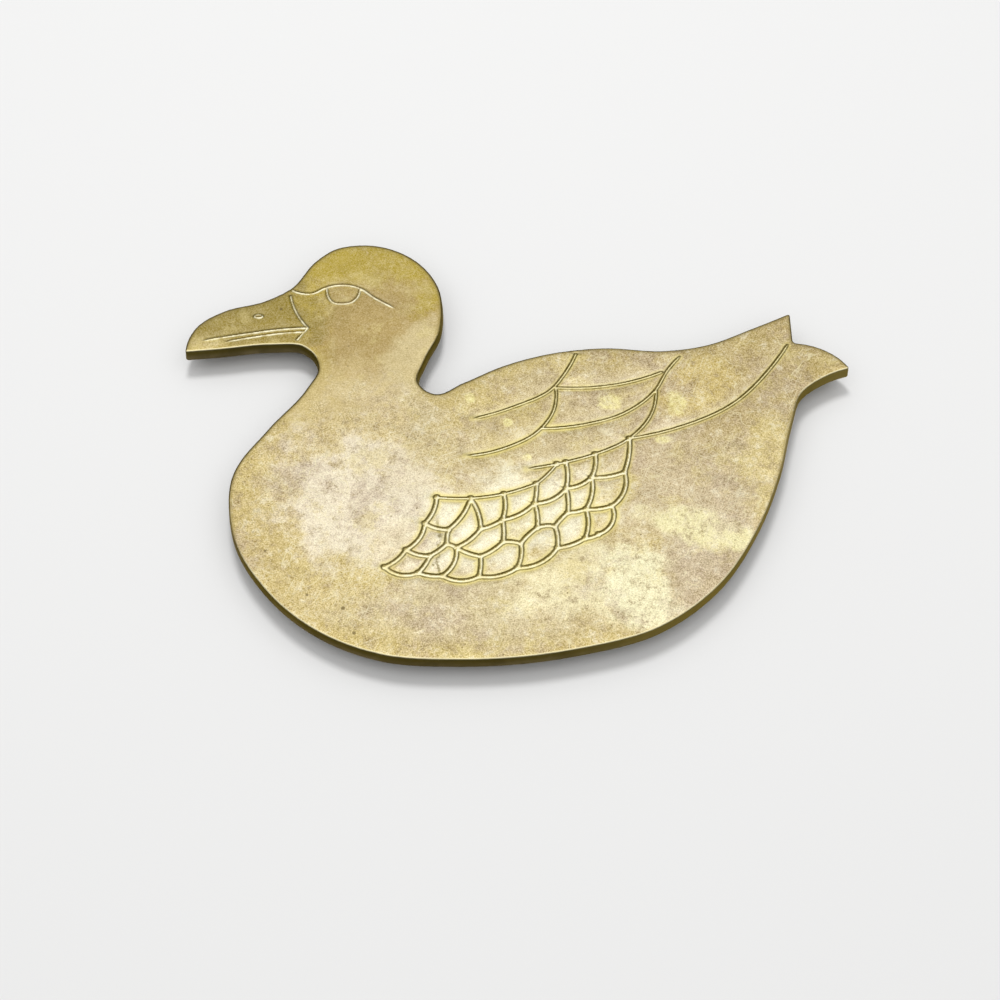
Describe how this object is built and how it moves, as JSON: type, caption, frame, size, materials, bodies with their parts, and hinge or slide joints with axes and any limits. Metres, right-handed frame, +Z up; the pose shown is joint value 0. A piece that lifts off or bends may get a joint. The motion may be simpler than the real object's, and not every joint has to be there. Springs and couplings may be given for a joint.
{
  "type": "footed trivet",
  "caption": "Flat cast brass trivet in the outline of a duck, with raised lines for bill, eye, wing feathers and breast scales, standing on turned brass feet.",
  "frame": {"origin": "middle of the length and width, on the table under the feet", "axes": "+X from the bill to the tail, +Y from the belly to the head, +Z up out of the face with the raised lines"},
  "size_m": [0.216, 0.1546, 0.0114],
  "materials": {
    "cast_brass": "aged, hand-polished casting with dull patches",
    "turned_brass": "turned, dulled with age"
  },
  "bodies": {
    "root": {"duck_plate": "cast_brass", "head_foot": "turned_brass", "breast_foot": "turned_brass", "rump_foot": "turned_brass", "tail_foot": "turned_brass"}
  },
  "joints": []
}
